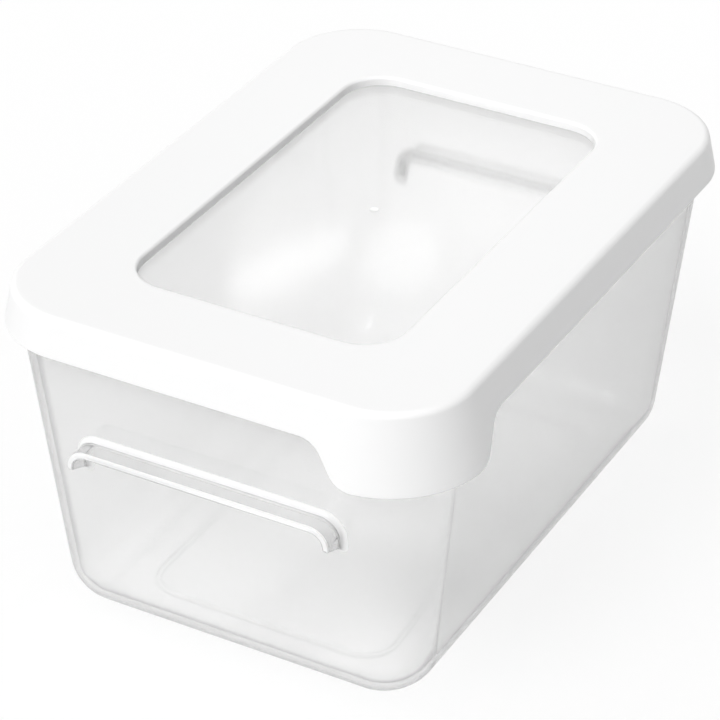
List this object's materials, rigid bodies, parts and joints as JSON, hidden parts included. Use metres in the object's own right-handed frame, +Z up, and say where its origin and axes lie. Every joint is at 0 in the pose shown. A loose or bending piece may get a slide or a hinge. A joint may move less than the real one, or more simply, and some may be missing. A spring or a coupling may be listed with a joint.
{
  "type": "milk storage freezer box",
  "caption": "Clear tapered storage box with ledge handles and a white lift-off lid: recessed clear window, flared skirt and a corner grip tab. Holds milk bags in a freezer.",
  "frame": {"origin": "on the supporting surface, under the middle of the bin (the middle of its foot ring)", "axes": "+Z up, +Y along the length from handle to handle, +X across the width; the lid's grip tab is at the +X, -Y corner"},
  "size_m": [0.2194, 0.3039, 0.161],
  "materials": {
    "clear_plastic": "clear, polished",
    "white_plastic": "opaque, satin"
  },
  "bodies": {
    "bin": {"clear_bin": "clear_plastic"},
    "lid": {"lid_frame": "white_plastic", "window_pane": "clear_plastic"}
  },
  "joints": [
    {"name": "lid_lift", "type": "slide", "parent": "bin", "child": "lid", "axis": [0, 0, 1], "range_m": [0, 0.045]}
  ]
}
